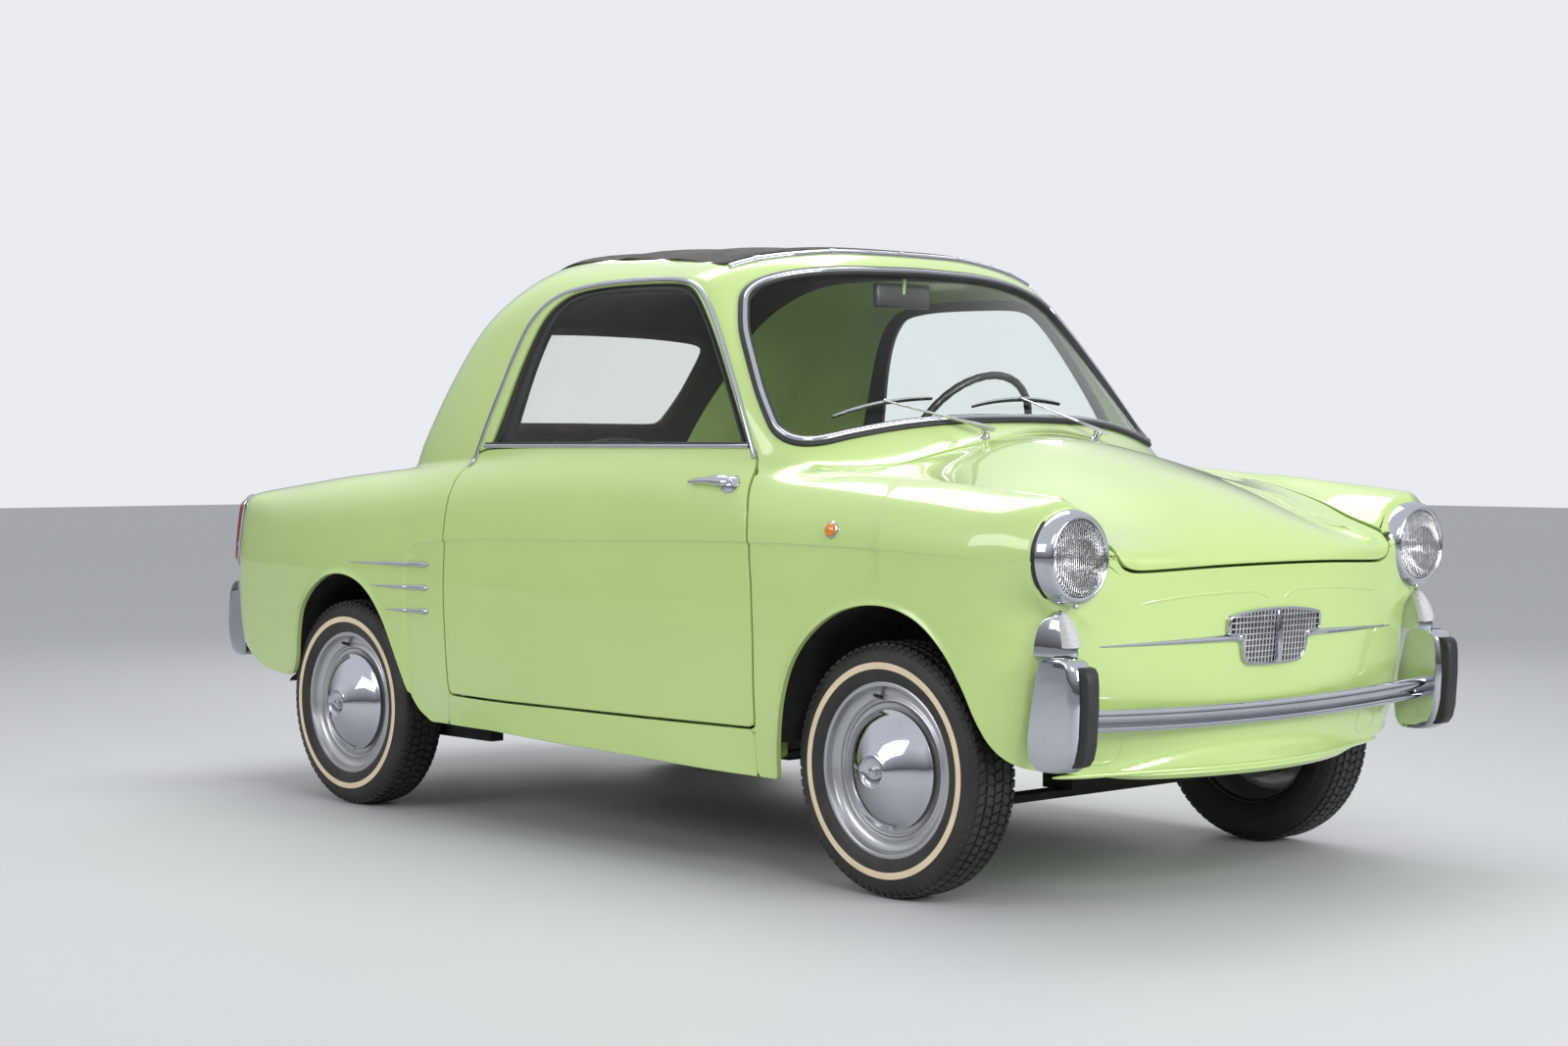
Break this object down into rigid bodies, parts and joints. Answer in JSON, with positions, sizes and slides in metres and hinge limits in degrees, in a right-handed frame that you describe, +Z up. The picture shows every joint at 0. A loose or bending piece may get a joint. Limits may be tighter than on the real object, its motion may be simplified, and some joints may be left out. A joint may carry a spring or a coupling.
{
  "type": "two-door microcar with a folding fabric roof",
  "caption": "Small two-door coupe with a folding fabric roof, opening doors, bonnet and engine lid, steered front wheels and wheels that roll.",
  "frame": {"origin": "on the ground below the middle of the overall box", "axes": "+X to the front of the car, +Y to its left side, +Z up"},
  "size_m": [2.985, 1.34, 1.32],
  "materials": {
    "paint": "pale green gloss enamel",
    "cabin_paint": "pale green gloss enamel on the inside metal",
    "underbody": "black underbody coating",
    "chrome": "polished",
    "glass": "clear",
    "lens": "fluted clear lens",
    "red_lens": "red lamp lens",
    "fabric_top": "coated canvas",
    "trim": "dark leathercloth",
    "tyre": "black with a cream ring",
    "rim": "silver enamel, with a chrome cap",
    "black_plastic": "black",
    "steel": "dark forged steel",
    "engine_metal": "cast"
  },
  "bodies": {
    "body": {"floor_pan": "paint", "nose_panel": "paint", "left_front_wing": "paint", "right_front_wing": "paint", "screen_frame": "paint", "left_rear_quarter": "paint", "right_rear_quarter": "paint", "rear_panel": "paint", "soft_top": "fabric_top", "rear_window": "glass", "windscreen": "glass", "wheel_houses": "underbody", "front_bulkhead": "cabin_paint", "rear_bulkhead": "trim", "left_seat": "trim", "right_seat": "trim", "dashboard": "cabin_paint", "steering_column": "black_plastic", "mirror": "black_plastic", "headlamps": "lens", "side_lamps": "lens", "tail_lamps": "red_lens", "grille": "chrome", "front_bumper": "chrome", "rear_bumper": "chrome", "front_overriders": "chrome", "rear_overriders": "chrome", "engine": "engine_metal", "front_leaf_spring": "steel", "front_arms": "steel", "rear_swing_arms": "steel"},
    "left_door": {"left_door": "paint", "left_door_handle": "chrome"},
    "right_door": {"right_door": "paint", "right_door_handle": "chrome"},
    "bonnet": {"bonnet": "paint"},
    "engine_lid": {"engine_lid": "paint"},
    "left_knuckle": {"left_knuckle": "steel"},
    "right_knuckle": {"right_knuckle": "steel"},
    "steering_wheel": {"steering_wheel": "black_plastic"},
    "front_left_wheel": {"front_left_tyre": "tyre", "front_left_rim": "rim"},
    "front_right_wheel": {"front_right_tyre": "tyre", "front_right_rim": "rim"},
    "rear_left_wheel": {"rear_left_tyre": "tyre", "rear_left_rim": "rim"},
    "rear_right_wheel": {"rear_right_tyre": "tyre", "rear_right_rim": "rim"}
  },
  "joints": [
    {"name": "left_door_hinge", "type": "hinge", "parent": "body", "child": "left_door", "pos_m": [-0.3945, 0.667, 0.6], "axis": [0, 0, 1], "range_deg": [0, 65]},
    {"name": "right_door_hinge", "type": "hinge", "parent": "body", "child": "right_door", "pos_m": [-0.3945, -0.667, 0.6], "axis": [0, 0, -1], "range_deg": [0, 65]},
    {"name": "bonnet_hinge", "type": "hinge", "parent": "body", "child": "bonnet", "pos_m": [0.8025, 0, 0.896], "axis": [0, -1, 0], "range_deg": [0, 60]},
    {"name": "engine_lid_hinge", "type": "hinge", "parent": "body", "child": "engine_lid", "pos_m": [-1.4255, 0, 0.707], "axis": [0, 1, 0], "range_deg": [0, 65]},
    {"name": "left_steer", "type": "hinge", "parent": "body", "child": "left_knuckle", "pos_m": [1.0025, 0.503, 0.248], "axis": [0, 0, 1], "range_deg": [-28, 28]},
    {"name": "right_steer", "type": "hinge", "parent": "body", "child": "right_knuckle", "pos_m": [1.0025, -0.503, 0.248], "axis": [0, 0, 1], "range_deg": [-28, 28]},
    {"name": "steering_wheel_turn", "type": "hinge", "parent": "body", "child": "steering_wheel", "pos_m": [0.3455, 0.3, 0.868], "axis": [-0.8704, 0, 0.4924], "range_deg": [-370, 370]},
    {"name": "front_left_spin", "type": "hinge", "parent": "left_knuckle", "child": "front_left_wheel", "pos_m": [1.0025, 0.565, 0.248], "axis": [0, 1, 0], "continuous": true},
    {"name": "front_right_spin", "type": "hinge", "parent": "right_knuckle", "child": "front_right_wheel", "pos_m": [1.0025, -0.565, 0.248], "axis": [0, 1, 0], "continuous": true},
    {"name": "rear_left_spin", "type": "hinge", "parent": "body", "child": "rear_left_wheel", "pos_m": [-0.8375, 0.5675, 0.248], "axis": [0, 1, 0], "continuous": true},
    {"name": "rear_right_spin", "type": "hinge", "parent": "body", "child": "rear_right_wheel", "pos_m": [-0.8375, -0.5675, 0.248], "axis": [0, 1, 0], "continuous": true}
  ],
  "couplings": [
    {"joint": "right_steer", "follows": "left_steer", "ratio": 1},
    {"joint": "steering_wheel_turn", "follows": "left_steer", "ratio": 13}
  ]
}
